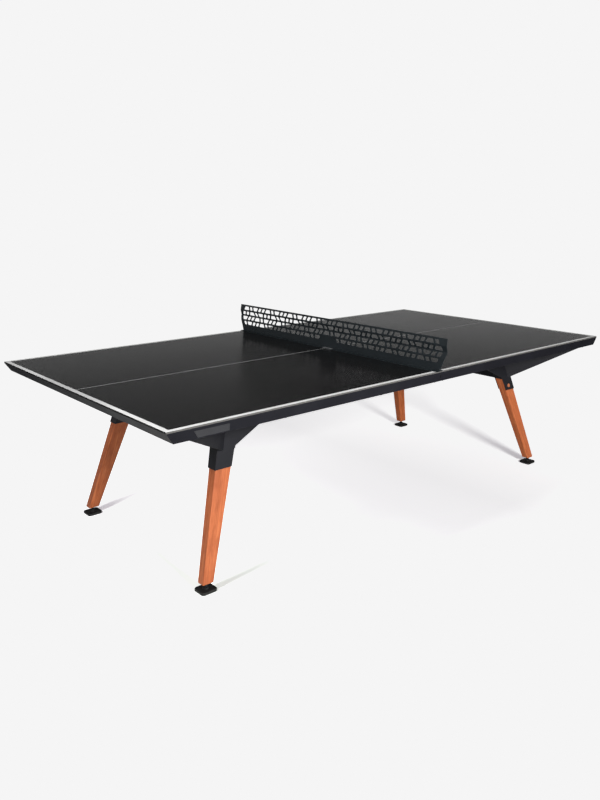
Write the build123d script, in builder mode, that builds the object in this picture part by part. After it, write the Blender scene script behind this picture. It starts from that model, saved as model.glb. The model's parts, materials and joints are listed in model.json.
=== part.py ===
"""Outdoor table tennis table: two steel-framed playing panels, a perforated steel net that
lifts off, four tapered wooden legs in folded steel brackets, and four levelling feet.

X runs along the table, Y across it and Z up.  The origin is on the floor under the middle of
the net.  "Left" is -X, "right" is +X, "near" is -Y and "far" is +Y.  Sizes are millimetres.
"""

from build123d import *
import os
from math import atan2, cos, degrees, hypot, radians, sin

os.makedirs("parts", exist_ok=True)

# ---- driving dimensions -------------------------------------------------------------------

# playing surface
TABLE_LENGTH = 2740.0
TABLE_WIDTH = 1525.0
TABLE_HEIGHT = 760.0
PANEL_THICKNESS = 6.0
PANEL_CORNER_RADIUS = 3.0
SEAM_GAP = 2.4
LINE_WIDTH = 20.0
CENTRE_LINE_WIDTH = 3.0
LINE_DEPTH = 0.3
LINE_MARGIN = 0.8

# perimeter rails and cross beams, folded from sheet
RAIL_HEIGHT = 41.0
RAIL_SHEET = 2.0
END_RAIL_SLOPE = 27.0
SIDE_RAIL_SLOPE = 3.5
RAIL_TOP_FLANGE = 22.0
RAIL_FOOT_FLANGE = 25.0
BEAM_WIDTH = 40.0
BEAM_WALL = 2.0
BEAM_STATIONS = (369.0, 870.0, 1240.0)
SEAM_BEAM_WIDTH = 30.0
SEAM_BEAM_CENTRE = 27.0
TAPE_THICKNESS = 2.0

# leg: outer and inner X faces and outer and inner Y faces, at two heights
LEG_FOOT_Z = 35.0
LEG_FOOT_X = (1072.4, 1121.1)
LEG_FOOT_Y = (494.8, 535.7)
LEG_WAIST_Z = 533.0
LEG_WAIST_X = (902.0, 981.0)
LEG_WAIST_Y = (399.0, 448.0)
LEG_TOP_Z = 690.0

# folded leg bracket
BRACKET_SHEET = 3.0
FLANGE_WIDTH = 40.0
SOCKET_FOOT_Z = 458.0
GUSSET_RISE = 0.49
WING_ROOT = (960.0, 527.0)
WING_TIP = (1268.0, 720.0, 702.0)
CROSSBAR_FOOT_Z = 526.0
CROSSBAR_HEIGHT = 84.0
CROSSBAR_LIP = 30.0

# trim
DISC_CENTRE = (956.0, 482.0)
DISC_RADIUS = 11.0

# levelling foot
PAD_SIZE = 70.0
PAD_CORNER_RADIUS = 13.0
PAD_HEIGHT = 12.0
SOLE_HEIGHT = 2.0
STUD_RADIUS = 4.95
STUD_LENGTH_ABOVE_LEG_FOOT = 24.0
INSERT_LENGTH = 26.0

# net: fold points of the sheet, from the top down
NET_WIDTH = 1597.0
NET_SHEET = 2.0
NET_FOLDS = ((-3.0, 912.0), (-9.0, 878.5), (-3.0, 850.0), (-11.5, 821.0), (-14.0, 762.0))
NET_FLANGE_X = -35.0
NET_SHOULDER_Z = 840.0
NET_FOOT_WIDTH = 1534.0
HOLE_ROWS = (893.0, 864.0, 835.5, 807.0)
HOLE_HEIGHT = 19.0
HOLE_PERIOD = 205.0
HOLE_ROW_SHIFT = 51.25
FIRST_HOLE_Y = 737.0
HOLE_EDGE_LIMIT = 766.0
PLAIN_PATCH_HALF_WIDTH = 62.0
HOLE_LEAN = 10.0
HOLE_BAR = 11.0
HOLE_CORNER_RADIUS = 3.5
SHOE_EDGE_X = 13.0
TONGUE_STATIONS = (-690.0, -230.0, 230.0, 690.0)
TONGUE_DEPTH = 38.0

# fasteners
M6_RADIUS = 3.0
M6_ACROSS_FLATS = 10.0
M6_HEAD = 4.0
M8_RADIUS = 4.0
M8_ACROSS_FLATS = 13.0
M8_HEAD = 5.3
BORE_CLEARANCE = 0.05

# ---- derived dimensions -------------------------------------------------------------------

half_length = TABLE_LENGTH / 2
half_width = TABLE_WIDTH / 2
half_gap = SEAM_GAP / 2
panel_foot_z = TABLE_HEIGHT - PANEL_THICKNESS
rail_foot_z = panel_foot_z - RAIL_HEIGHT
beam_foot_z = rail_foot_z + RAIL_SHEET
beam_top_z = panel_foot_z - TAPE_THICKNESS
beam_height = beam_top_z - beam_foot_z
flange_top_z = beam_foot_z
flange_foot_z = flange_top_z - BRACKET_SHEET
foot_centre_x = sum(LEG_FOOT_X) / 2
foot_centre_y = sum(LEG_FOOT_Y) / 2

QUADRANTS = {
    "near_left": (-1, -1),
    "far_left": (-1, 1),
    "near_right": (1, -1),
    "far_right": (1, 1),
}
SIDES = {"left": -1, "right": 1}


def save(piece, label):
    """Label a finished sub-part and write its STEP file."""
    piece.part.label = label
    export_step(piece.part, f"parts/{label}.step")


def mirrored(master, sign_x=1, sign_y=1):
    """A copy of a piece made on the +X, +Y side, mirrored to the side with the given signs."""
    with BuildPart() as copy:
        add(master.part)
        if sign_x < 0:
            mirror(about=Plane.YZ, mode=Mode.REPLACE)
        if sign_y < 0:
            mirror(about=Plane.XZ, mode=Mode.REPLACE)
    return copy


def between(z, z_a, value_a, z_b, value_b):
    """The value at height z of an edge that runs straight through two stated points."""
    return value_a + (value_b - value_a) * (z - z_a) / (z_b - z_a)


def leg_x(z):
    """Inner and outer X of the leg at height z."""
    return [between(z, LEG_FOOT_Z, LEG_FOOT_X[i], LEG_WAIST_Z, LEG_WAIST_X[i]) for i in (0, 1)]


def leg_y(z):
    """Inner and outer Y of the leg at height z."""
    return [between(z, LEG_FOOT_Z, LEG_FOOT_Y[i], LEG_WAIST_Z, LEG_WAIST_Y[i]) for i in (0, 1)]


def polygon_plate(corners, plate_normal, thickness, mode=Mode.ADD):
    """Extrude a flat polygon, given by its corners in space, along its own normal."""
    plane = Plane(origin=corners[0], x_dir=Vector(*corners[1]) - Vector(*corners[0]), z_dir=plate_normal)
    flat = [plane.to_local_coords(Vector(*corner)) for corner in corners]
    with BuildSketch(plane) as outline:
        with BuildLine():
            Polyline(*[(point.X, point.Y) for point in flat], close=True)
        make_face()
    extrude(outline.sketch, amount=thickness, dir=plate_normal, mode=mode)


def plate_normal_through(corners, towards):
    """Unit normal of the plane through three points, on the side of a given direction."""
    first, second, third = (Vector(*corner) for corner in corners)
    normal = (second - first).cross(third - first).normalized()
    return normal if normal.dot(Vector(*towards)) > 0 else normal * -1


# ---- playing panels and their inlaid lines ------------------------------------------------

half_centre_x = (half_length + half_gap) / 2
line_length = half_length - half_gap - 2 * LINE_MARGIN
line_band_width = TABLE_WIDTH - 2 * LINE_MARGIN
with BuildPart() as lines:
    with BuildSketch(Plane.XY.offset(TABLE_HEIGHT - LINE_DEPTH)) as line_outline:
        with Locations((half_centre_x, 0)):
            Rectangle(line_length, line_band_width)
        line_corners = line_outline.vertices().group_by(Axis.X)[-1]
        fillet(line_corners, radius=PANEL_CORNER_RADIUS - LINE_MARGIN)
        with Locations((half_centre_x - LINE_WIDTH, 0)):
            Rectangle(line_length, line_band_width - 2 * LINE_WIDTH, mode=Mode.SUBTRACT)
        with Locations((half_centre_x - LINE_WIDTH / 2, 0)):
            Rectangle(line_length - LINE_WIDTH, CENTRE_LINE_WIDTH)
    extrude(amount=LINE_DEPTH)

with BuildPart() as panel:
    with BuildSketch(Plane.XY.offset(panel_foot_z)):
        with Locations((half_centre_x, 0)):
            Rectangle(half_length - half_gap, TABLE_WIDTH)
    extrude(amount=PANEL_THICKNESS)
    outer_corners = panel.edges().filter_by(Axis.Z).group_by(Axis.X)[-1]
    fillet(outer_corners, radius=PANEL_CORNER_RADIUS)
    chamfer(panel.faces().sort_by(Axis.Z)[-1].edges(), length=0.6)
    add(lines.part, mode=Mode.SUBTRACT)

for side, sign in SIDES.items():
    save(mirrored(panel, sign), f"{side}_playing_panel")
    save(mirrored(lines, sign), f"{side}_court_lines")

# ---- perimeter rails ----------------------------------------------------------------------

# The mitre plane holds the sloping corner edge and the plan bisector.
corner_top = Vector(half_length, half_width, panel_foot_z)
corner_edge = Vector(END_RAIL_SLOPE, SIDE_RAIL_SLOPE, RAIL_HEIGHT)
mitre_plane = Plane(origin=corner_top, z_dir=corner_edge.cross(Vector(1, 1, 0)))


def rail_profile(slope):
    """Folded channel section: top flange, sloping web and foot flange, measured from the outside."""
    web = RAIL_SHEET * hypot(1, slope / RAIL_HEIGHT)
    slope_per_mm = slope / RAIL_HEIGHT
    return [
        (0, 0),
        (-RAIL_TOP_FLANGE, 0),
        (-RAIL_TOP_FLANGE, -RAIL_SHEET),
        (-web - slope_per_mm * RAIL_SHEET, -RAIL_SHEET),
        (-web - slope_per_mm * (RAIL_HEIGHT - RAIL_SHEET), RAIL_SHEET - RAIL_HEIGHT),
        (-slope - RAIL_FOOT_FLANGE, RAIL_SHEET - RAIL_HEIGHT),
        (-slope - RAIL_FOOT_FLANGE, -RAIL_HEIGHT),
        (-slope, -RAIL_HEIGHT),
    ]


side_rail_section = Plane(origin=(half_gap, half_width, panel_foot_z), x_dir=(0, 1, 0), z_dir=(1, 0, 0))
with BuildPart() as side_rail:
    with BuildSketch(side_rail_section):
        with BuildLine():
            Polyline(*rail_profile(SIDE_RAIL_SLOPE), close=True)
        make_face()
    extrude(amount=half_length - half_gap)
    split(bisect_by=mitre_plane, keep=Keep.TOP)

end_rail_section = Plane(origin=(half_length, -half_width, panel_foot_z), x_dir=(1, 0, 0), z_dir=(0, -1, 0))
with BuildPart() as end_rail:
    with BuildSketch(end_rail_section):
        with BuildLine():
            Polyline(*rail_profile(END_RAIL_SLOPE), close=True)
        make_face()
    extrude(amount=-TABLE_WIDTH)
    split(bisect_by=mitre_plane, keep=Keep.BOTTOM)
    mirror(about=Plane.XZ, mode=Mode.REPLACE)
    split(bisect_by=mitre_plane, keep=Keep.BOTTOM)

for side, sign in SIDES.items():
    save(mirrored(end_rail, sign), f"{side}_end_rail")

# ---- cross beams, seam beams and bonding tape ---------------------------------------------

side_web_inner_y = half_width - RAIL_SHEET - SIDE_RAIL_SLOPE
beam_start = (0, -side_web_inner_y, (beam_foot_z + beam_top_z) / 2)
beam_section = Plane(origin=beam_start, x_dir=(1, 0, 0), z_dir=(0, -1, 0))


def box_beams(stations, width):
    """Square-cut box beams across the table, one at each X station."""
    with BuildPart() as beams:
        with BuildSketch(beam_section):
            with Locations([(x, 0) for x in stations]):
                Rectangle(width, beam_height)
                Rectangle(width - 2 * BEAM_WALL, beam_height - 2 * BEAM_WALL, mode=Mode.SUBTRACT)
        extrude(amount=-2 * side_web_inner_y)
    return beams


cross_beams = box_beams(BEAM_STATIONS, BEAM_WIDTH)
seam_beams = box_beams((-SEAM_BEAM_CENTRE, SEAM_BEAM_CENTRE), SEAM_BEAM_WIDTH)

tape_length = 2 * (half_width - RAIL_TOP_FLANGE - 6)
with BuildPart() as panel_tape:
    with BuildSketch(Plane.XY.offset(beam_top_z)):
        for x in (*BEAM_STATIONS, SEAM_BEAM_CENTRE):
            with Locations((x, 0), (-x, 0)):
                Rectangle(19, tape_length)
    extrude(amount=TAPE_THICKNESS)
save(panel_tape, "panel_bonding_tape")

# ---- fasteners ----------------------------------------------------------------------------


def hex_bolt(radius, across_flats, head, length):
    """A hexagon bolt: the head sits below the local XY plane and the shank rises from it."""
    with BuildPart() as bolt:
        with BuildSketch():
            RegularPolygon(across_flats / 2, 6, major_radius=False)
        extrude(amount=-head)
        fillet(bolt.faces().sort_by(Axis.Z)[0].edges(), radius=0.6)
        Cylinder(radius, length, align=(Align.CENTER, Align.CENTER, Align.MIN))
    return bolt


def bolt_group(bolt, planes):
    """Copies of one bolt, each set into its own plane."""
    with BuildPart() as group:
        with Locations(*planes):
            add(bolt.part)
    return group



def drilled(piece, planes, radius, depth):
    """The piece with a round hole at each plane, cut upwards along that plane's normal."""
    with BuildPart() as result:
        add(piece.part)
        with Locations(*planes):
            Cylinder(radius, depth, align=(Align.CENTER, Align.CENTER, Align.MIN), mode=Mode.SUBTRACT)
    return result


# Rail screws clamp each beam's end to the rail's foot flange, with their heads below it.
rail_screw_y = half_width - SIDE_RAIL_SLOPE - RAIL_FOOT_FLANGE / 2
rail_screw_x = [sign * x for sign in (-1, 1) for x in (*BEAM_STATIONS, SEAM_BEAM_CENTRE)]
rail_screw_places = [Plane((x, sign * rail_screw_y, rail_foot_z)) for x in rail_screw_x for sign in (-1, 1)]
rail_screw = hex_bolt(M6_RADIUS, M6_ACROSS_FLATS, M6_HEAD, 10)
save(bolt_group(rail_screw, rail_screw_places), "rail_screws")
cross_beams = drilled(cross_beams, rail_screw_places, M6_RADIUS + BORE_CLEARANCE, 10)
seam_beams = drilled(seam_beams, rail_screw_places, M6_RADIUS + BORE_CLEARANCE, 10)
side_rail = drilled(side_rail, rail_screw_places, M6_RADIUS + BORE_CLEARANCE, RAIL_SHEET)
for quadrant, (sign_x, sign_y) in QUADRANTS.items():
    save(mirrored(side_rail, sign_x, sign_y), f"{quadrant}_side_rail")

# Seam bolts pull the two halves together through spacer tubes that keep the net's slot open.
seam_bolt_y = (-640.0, -320.0, 320.0, 640.0)
seam_bolt_z = (beam_foot_z + beam_top_z) / 2
seam_inner_x = SEAM_BEAM_CENTRE - SEAM_BEAM_WIDTH / 2
seam_outer_x = SEAM_BEAM_CENTRE + SEAM_BEAM_WIDTH / 2
along_seam = {"x_dir": (0, 1, 0), "z_dir": (1, 0, 0)}
seam_bolt_places = [Plane((-seam_outer_x, y, seam_bolt_z), **along_seam) for y in seam_bolt_y]
seam_bolt = hex_bolt(M8_RADIUS, M8_ACROSS_FLATS, M8_HEAD, 2 * seam_outer_x + 8)
save(bolt_group(seam_bolt, seam_bolt_places), "seam_bolts")
seam_beams = drilled(seam_beams, seam_bolt_places, M8_RADIUS + BORE_CLEARANCE, 2 * seam_outer_x)
save(seam_beams, "seam_beams")

nut_places = [Plane((seam_outer_x, y, seam_bolt_z), x_dir=(0, 1, 0), z_dir=(1, 0, 0)) for y in seam_bolt_y]
with BuildPart() as seam_nuts:
    for place in nut_places:
        with BuildSketch(place):
            RegularPolygon(M8_ACROSS_FLATS / 2, 6, major_radius=False)
            Circle(M8_RADIUS + BORE_CLEARANCE, mode=Mode.SUBTRACT)
        extrude(amount=6.5)
save(seam_nuts, "seam_nuts")

spacer_places = [Plane((-seam_inner_x, y, seam_bolt_z), **along_seam) for y in seam_bolt_y]
with BuildPart() as seam_spacers:
    for place in spacer_places:
        with BuildSketch(place):
            Circle(8)
            Circle(M8_RADIUS + BORE_CLEARANCE, mode=Mode.SUBTRACT)
        extrude(amount=2 * seam_inner_x)
save(seam_spacers, "seam_spacers")

# ---- leg brackets -------------------------------------------------------------------------

# Each bracket is a socket of three plates round the leg, a plate that closes the leg's inner
# side above the crossbar's foot, a front gusset that rises towards the net, a wing that rises
# towards the table's corner, and a flange that is bolted up under the cross beams.
front_slope = (LEG_FOOT_Y[1] - LEG_WAIST_Y[1]) / (LEG_WAIST_Z - LEG_FOOT_Z)
back_slope = (LEG_FOOT_Y[0] - LEG_WAIST_Y[0]) / (LEG_WAIST_Z - LEG_FOOT_Z)
outer_slope = (LEG_FOOT_X[1] - LEG_WAIST_X[1]) / (LEG_WAIST_Z - LEG_FOOT_Z)
inner_slope = (LEG_FOOT_X[0] - LEG_WAIST_X[0]) / (LEG_WAIST_Z - LEG_FOOT_Z)
gusset_tip_x = LEG_WAIST_X[0] - (flange_foot_z - LEG_WAIST_Z) / GUSSET_RISE
flange_end_x = BEAM_STATIONS[0] - BEAM_WIDTH / 2


def on_front(x, z):
    """A point of the leg's front face."""
    return (x, leg_y(z)[1], z)


def on_back(x, z):
    """A point of the leg's back face."""
    return (x, leg_y(z)[0], z)


front_normal = Vector(0, 1, front_slope).normalized()
back_normal = Vector(0, -1, -back_slope).normalized()
inner_normal = Vector(-1, 0, -inner_slope).normalized()

def leg_section(z, sheet=0.0):
    """Rectangle that bounds the leg at height z, grown so that a sheet of that thickness covers it."""
    low_x, high_x = leg_x(z)
    low_y, high_y = leg_y(z)
    low_x -= sheet * hypot(1, inner_slope)
    high_x += sheet * hypot(1, outer_slope)
    low_y -= sheet * hypot(1, back_slope)
    high_y += sheet * hypot(1, front_slope)
    with BuildSketch(Plane.XY.offset(z)) as section:
        with Locations(((low_x + high_x) / 2, (low_y + high_y) / 2)):
            Rectangle(high_x - low_x, high_y - low_y)
    return section.sketch


gusset_outline = [
    on_front(LEG_WAIST_X[0], LEG_WAIST_Z),
    on_front(LEG_WAIST_X[0] + 30, LEG_WAIST_Z + 10),
    on_front(leg_x(flange_top_z)[0] + 40, flange_top_z),
    on_front(gusset_tip_x, flange_top_z),
    on_front(gusset_tip_x, flange_foot_z),
]

# The socket is open on the leg's inner side below the crossbar's foot.
open_side = [
    (leg_x(z)[0], leg_y(z)[edge] + reach, z)
    for z, edge, reach in (
        (SOCKET_FOOT_Z - 5, 0, -10),
        (SOCKET_FOOT_Z - 5, 1, 10),
        (CROSSBAR_FOOT_Z, 1, 10),
        (CROSSBAR_FOOT_Z, 0, -10),
    )
]

# The wing starts on a fold line in the front plate and rises to the tip near the corner.
root_x_at_flange = WING_ROOT[0] - outer_slope * (flange_top_z - WING_ROOT[1])
wing_root_foot = Vector(*on_front(*WING_ROOT)) + front_normal
wing_root_top = Vector(*on_front(root_x_at_flange, flange_top_z)) + front_normal
wing_tip_foot = Vector(*WING_TIP)
wing_normal = plate_normal_through((wing_root_foot, wing_tip_foot, wing_root_top), (-1, 1, 0))
wing_level = wing_normal.cross(Vector(0, 0, 1)).normalized()
wing_climb = wing_normal.cross(wing_level).normalized()
wing_tip_top = wing_tip_foot + wing_climb * ((flange_top_z - wing_tip_foot.Z) / wing_climb.Z)
wing_outline = [wing_root_foot, wing_tip_foot, wing_tip_top, wing_root_top]
wing_plan_angle = atan2(wing_tip_top.Y - wing_root_top.Y, wing_tip_top.X - wing_root_top.X)
wing_along = Vector(cos(wing_plan_angle), sin(wing_plan_angle), 0)
wing_inward = Vector(sin(wing_plan_angle), -cos(wing_plan_angle), 0)

half_sheet = BRACKET_SHEET / 2
with BuildPart() as bracket:
    loft([leg_section(z, BRACKET_SHEET) for z in (SOCKET_FOOT_Z, flange_top_z)])
    loft([leg_section(z) for z in (SOCKET_FOOT_Z - 1, flange_top_z + 1)], mode=Mode.SUBTRACT)
    polygon_plate(open_side, inner_normal, 10, mode=Mode.SUBTRACT)
    polygon_plate(gusset_outline, front_normal, BRACKET_SHEET)
    polygon_plate([tuple(corner) for corner in wing_outline], wing_normal, BRACKET_SHEET)
    with BuildSketch(Plane.XY.offset(flange_foot_z)):
        front_y = leg_y(flange_top_z)[1] + half_sheet
        outer_x = leg_x(flange_top_z)[1] + half_sheet
        inner_x = leg_x(flange_foot_z)[0] - 12
        with BuildLine():
            Polyline(
                (flange_end_x, front_y),
                (flange_end_x, front_y - FLANGE_WIDTH),
                (inner_x, front_y - FLANGE_WIDTH),
                (inner_x, leg_y(flange_foot_z)[0] - 34),
                (outer_x, leg_y(flange_foot_z)[0] - 34),
                (outer_x, front_y),
                close=True,
            )
        make_face()
        with BuildLine():
            wing_strip = [
                wing_root_top - wing_inward * half_sheet,
                wing_tip_top - wing_inward * half_sheet - wing_along * half_sheet,
                wing_tip_top + wing_inward * FLANGE_WIDTH - wing_along * half_sheet,
                wing_root_top + wing_inward * FLANGE_WIDTH,
            ]
            Polyline(*[(corner.X, corner.Y) for corner in wing_strip], close=True)
        make_face()
    extrude(amount=BRACKET_SHEET)
    # Trim the sloping plates level with the flange's upper face.
    with Locations((900, 500, flange_top_z)):
        Box(1600, 900, 40, align=(Align.CENTER, Align.CENTER, Align.MIN), mode=Mode.SUBTRACT)

# ---- legs ---------------------------------------------------------------------------------

with BuildPart() as leg:
    for z in (LEG_FOOT_Z, LEG_TOP_Z):
        with BuildSketch(Plane.XY.offset(z)):
            with Locations((sum(leg_x(z)) / 2, sum(leg_y(z)) / 2)):
                Rectangle(leg_x(z)[1] - leg_x(z)[0], leg_y(z)[1] - leg_y(z)[0])
    loft()
    long_edges = leg.edges().filter_by(lambda edge: edge.length > 400)
    fillet(long_edges, radius=3.5)
    chamfer(leg.faces().sort_by(Axis.Z)[0].edges(), length=2)

# Two bolts enter each leg squarely through the bracket's back plate.
leg_bolt_heights = (500.0, 640.0)
leg_bolt_planes = []
for z in leg_bolt_heights:
    seat = Vector(*on_back(sum(leg_x(z)) / 2, z)) + back_normal * BRACKET_SHEET
    leg_bolt_planes.append(Plane(origin=seat, x_dir=(1, 0, 0), z_dir=back_normal * -1))
leg_bolt = hex_bolt(M8_RADIUS, M8_ACROSS_FLATS, M8_HEAD, 34)

leg_insert_planes = [plane.offset(BRACKET_SHEET) for plane in leg_bolt_planes]
leg = drilled(leg, leg_insert_planes, 6.0, 34)
bracket = drilled(bracket, leg_bolt_planes, M8_RADIUS + BORE_CLEARANCE, BRACKET_SHEET)


def tube_at(planes, outer_radius, inner_radius, length):
    """Plain tubes, one rising from each plane."""
    with BuildPart() as tubes:
        for plane in planes:
            with BuildSketch(plane):
                Circle(outer_radius)
                Circle(inner_radius, mode=Mode.SUBTRACT)
            extrude(amount=length)
    return tubes


def all_quadrants(master):
    """One node that holds the piece on all four legs."""
    with BuildPart() as group:
        add(master.part)
        mirror(about=Plane.YZ)
        mirror(about=Plane.XZ)
    return group


leg_inserts = tube_at(leg_insert_planes, 6.0 - BORE_CLEARANCE, M8_RADIUS + BORE_CLEARANCE, 32)
save(all_quadrants(leg_inserts), "leg_inserts")
save(all_quadrants(bolt_group(leg_bolt, leg_bolt_planes)), "leg_bolts")

# The foot insert and the free space above it, bored up into the leg's end.
stud_top_z = LEG_FOOT_Z + STUD_LENGTH_ABOVE_LEG_FOOT
foot_place = Plane((foot_centre_x, foot_centre_y, LEG_FOOT_Z))
leg = drilled(leg, [foot_place], 8.0, INSERT_LENGTH)
leg = drilled(leg, [foot_place.offset(INSERT_LENGTH)], 6.0, 4)
for quadrant, (sign_x, sign_y) in QUADRANTS.items():
    save(mirrored(leg, sign_x, sign_y), f"{quadrant}_leg")

foot_insert = tube_at([foot_place], 8.0 - BORE_CLEARANCE, STUD_RADIUS + BORE_CLEARANCE, INSERT_LENGTH)
save(all_quadrants(foot_insert), "foot_inserts")

# ---- bracket bolts ------------------------------------------------------------------------

# Flange bolts rise through the bracket flange into the cross beams.
flange_centre_y = leg_y(flange_foot_z)[1] + BRACKET_SHEET - FLANGE_WIDTH / 2
wing_bolt_reach = (BEAM_STATIONS[2] - wing_root_top.X) / cos(wing_plan_angle)
wing_bolt_y = wing_root_top.Y + wing_bolt_reach * sin(wing_plan_angle)
wing_bolt_y = wing_bolt_y - FLANGE_WIDTH / 2 / cos(wing_plan_angle)
flange_bolt_centres = [
    (BEAM_STATIONS[0], flange_centre_y, flange_foot_z),
    (BEAM_STATIONS[1], leg_y(flange_foot_z)[0] - 20, flange_foot_z),
    (BEAM_STATIONS[2], wing_bolt_y, flange_foot_z),
]
flange_bolt_places = [Plane(centre) for centre in flange_bolt_centres]
flange_bolt = hex_bolt(M8_RADIUS, M8_ACROSS_FLATS, M8_HEAD, 12)
save(all_quadrants(bolt_group(flange_bolt, flange_bolt_places)), "flange_bolts")
bracket = drilled(bracket, flange_bolt_places, M8_RADIUS + BORE_CLEARANCE, BRACKET_SHEET)
beam_bolt_places = [Plane((x, sign * y, beam_foot_z)) for x, y, _ in flange_bolt_centres for sign in (-1, 1)]
cross_beams = drilled(cross_beams, beam_bolt_places, M8_RADIUS + BORE_CLEARANCE, 10)
for side, sign in SIDES.items():
    save(mirrored(cross_beams, sign), f"{side}_cross_beams")
for quadrant, (sign_x, sign_y) in QUADRANTS.items():
    save(mirrored(bracket, sign_x, sign_y), f"{quadrant}_leg_bracket")

# ---- crossbars between the near and far brackets ------------------------------------------

crossbar_top_z = CROSSBAR_FOOT_Z + CROSSBAR_HEIGHT


def crossbar_x(z):
    """X of the crossbar's web face, flush with the brackets' inner plates."""
    return leg_x(z)[0] - BRACKET_SHEET


with BuildPart() as crossbar:
    with BuildSketch(Plane.XZ.offset(-500)):
        with BuildLine():
            Polyline(
                (crossbar_x(CROSSBAR_FOOT_Z), CROSSBAR_FOOT_Z),
                (crossbar_x(CROSSBAR_FOOT_Z) + CROSSBAR_LIP, CROSSBAR_FOOT_Z),
                (crossbar_x(CROSSBAR_FOOT_Z) + CROSSBAR_LIP, CROSSBAR_FOOT_Z + BRACKET_SHEET),
                (crossbar_x(CROSSBAR_FOOT_Z + BRACKET_SHEET) + BRACKET_SHEET, CROSSBAR_FOOT_Z + BRACKET_SHEET),
                (crossbar_x(crossbar_top_z - BRACKET_SHEET) + BRACKET_SHEET, crossbar_top_z - BRACKET_SHEET),
                (crossbar_x(crossbar_top_z) + CROSSBAR_LIP, crossbar_top_z - BRACKET_SHEET),
                (crossbar_x(crossbar_top_z) + CROSSBAR_LIP, crossbar_top_z),
                (crossbar_x(crossbar_top_z), crossbar_top_z),
                close=True,
            )
        make_face()
    extrude(amount=1000)
    back_face = Plane(origin=Vector(*on_back(900, 600)) + back_normal * BRACKET_SHEET, z_dir=back_normal)
    split(bisect_by=back_face, keep=Keep.TOP)
    mirror(about=Plane.XZ, mode=Mode.REPLACE)
    split(bisect_by=back_face, keep=Keep.TOP)

for side, sign in SIDES.items():
    save(mirrored(crossbar, sign), f"{side}_crossbar")

# ---- levelling feet -----------------------------------------------------------------------

BALL_RADIUS = 7.0
SOCKET_CLEARANCE = 0.1
NECK_RADIUS = STUD_RADIUS + 0.35
ball_foot_z = SOLE_HEIGHT + 2
ball_top_z = ball_foot_z + 5
PAD_BOSS_HEIGHT = 4.0

with BuildPart() as foot_sole:
    with BuildSketch(Plane.XY):
        with Locations((foot_centre_x, foot_centre_y)):
            RectangleRounded(PAD_SIZE - 6, PAD_SIZE - 6, PAD_CORNER_RADIUS - 3)
    extrude(amount=SOLE_HEIGHT)

with BuildPart() as foot_pad:
    with BuildSketch(Plane.XY.offset(SOLE_HEIGHT)):
        with Locations((foot_centre_x, foot_centre_y)):
            RectangleRounded(PAD_SIZE, PAD_SIZE, PAD_CORNER_RADIUS)
    extrude(amount=PAD_HEIGHT - SOLE_HEIGHT)
    fillet(foot_pad.faces().sort_by(Axis.Z)[-1].edges(), radius=2.5)
    with BuildSketch(Plane.XY.offset(PAD_HEIGHT - 1)):
        with Locations((foot_centre_x, foot_centre_y)):
            Circle(13)
    extrude(amount=PAD_BOSS_HEIGHT + 1, taper=12)
    with Locations((foot_centre_x, foot_centre_y, ball_foot_z - SOCKET_CLEARANCE)):
        pocket_height = ball_top_z - ball_foot_z + 2 * SOCKET_CLEARANCE
        pocket_align = (Align.CENTER, Align.CENTER, Align.MIN)
        Cylinder(BALL_RADIUS + SOCKET_CLEARANCE, pocket_height, align=pocket_align, mode=Mode.SUBTRACT)
        Cylinder(NECK_RADIUS, PAD_HEIGHT + PAD_BOSS_HEIGHT, align=pocket_align, mode=Mode.SUBTRACT)

with BuildPart() as foot_stud:
    with BuildSketch(Plane.XY.offset(ball_foot_z)):
        with Locations((foot_centre_x, foot_centre_y)):
            Circle(BALL_RADIUS)
    extrude(amount=ball_top_z - ball_foot_z)
    with BuildSketch(Plane.XY.offset(ball_top_z)):
        with Locations((foot_centre_x, foot_centre_y)):
            Circle(STUD_RADIUS)
    extrude(amount=stud_top_z - ball_top_z)
    chamfer(foot_stud.faces().sort_by(Axis.Z)[-1].edges(), length=1)
    with BuildSketch(Plane.XY.offset(PAD_HEIGHT + PAD_BOSS_HEIGHT + 1)):
        with Locations((foot_centre_x, foot_centre_y)):
            RegularPolygon(8.5, 6, major_radius=False)
    extrude(amount=8)

for quadrant, (sign_x, sign_y) in QUADRANTS.items():
    save(mirrored(foot_sole, sign_x, sign_y), f"{quadrant}_foot_sole")
    save(mirrored(foot_pad, sign_x, sign_y), f"{quadrant}_foot_pad")
    save(mirrored(foot_stud, sign_x, sign_y), f"{quadrant}_foot_stud")

# ---- net ----------------------------------------------------------------------------------

# One folded sheet: five strips that zigzag down, and a flange that lies on the playing panels.
net_foot_x = NET_FOLDS[-1][0] + NET_SHEET
net_flange = [
    (NET_FLANGE_X, TABLE_HEIGHT + NET_SHEET),
    (NET_FLANGE_X, TABLE_HEIGHT),
    (net_foot_x, TABLE_HEIGHT),
]
net_section = [*NET_FOLDS, *net_flange] + [(x + NET_SHEET, z) for x, z in reversed(NET_FOLDS)]

# Centre and half mid-width of each opening in one period, with the lean of its two sides:
# +1 where the side's top leans towards -Y, -1 where it leans towards +Y.
BAR_CENTRES = (-26.5, 26.5, 59.5, 110.0, 144.5, HOLE_PERIOD - 26.5)
BAR_LEANS = (1, -1, -1, 1, 1, 1)


def opening_outline(first_y, period_index):
    """Corner lists of the five openings of one period, whose first is centred on first_y."""
    outlines = []
    for left, right, lean_left, lean_right in zip(BAR_CENTRES, BAR_CENTRES[1:], BAR_LEANS, BAR_LEANS[1:]):
        near = first_y - period_index * HOLE_PERIOD - right
        far = first_y - period_index * HOLE_PERIOD - left
        if abs(near + far) / 2 > HOLE_EDGE_LIMIT:
            continue
        half_height = HOLE_HEIGHT / 2
        half_lean = HOLE_LEAN / 2
        half_bar = HOLE_BAR / 2
        outlines.append([
            (far - half_bar + lean_left * half_lean, -half_height),
            (far - half_bar - lean_left * half_lean, half_height),
            (near + half_bar - lean_right * half_lean, half_height),
            (near + half_bar + lean_right * half_lean, -half_height),
        ])
    return outlines


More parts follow.
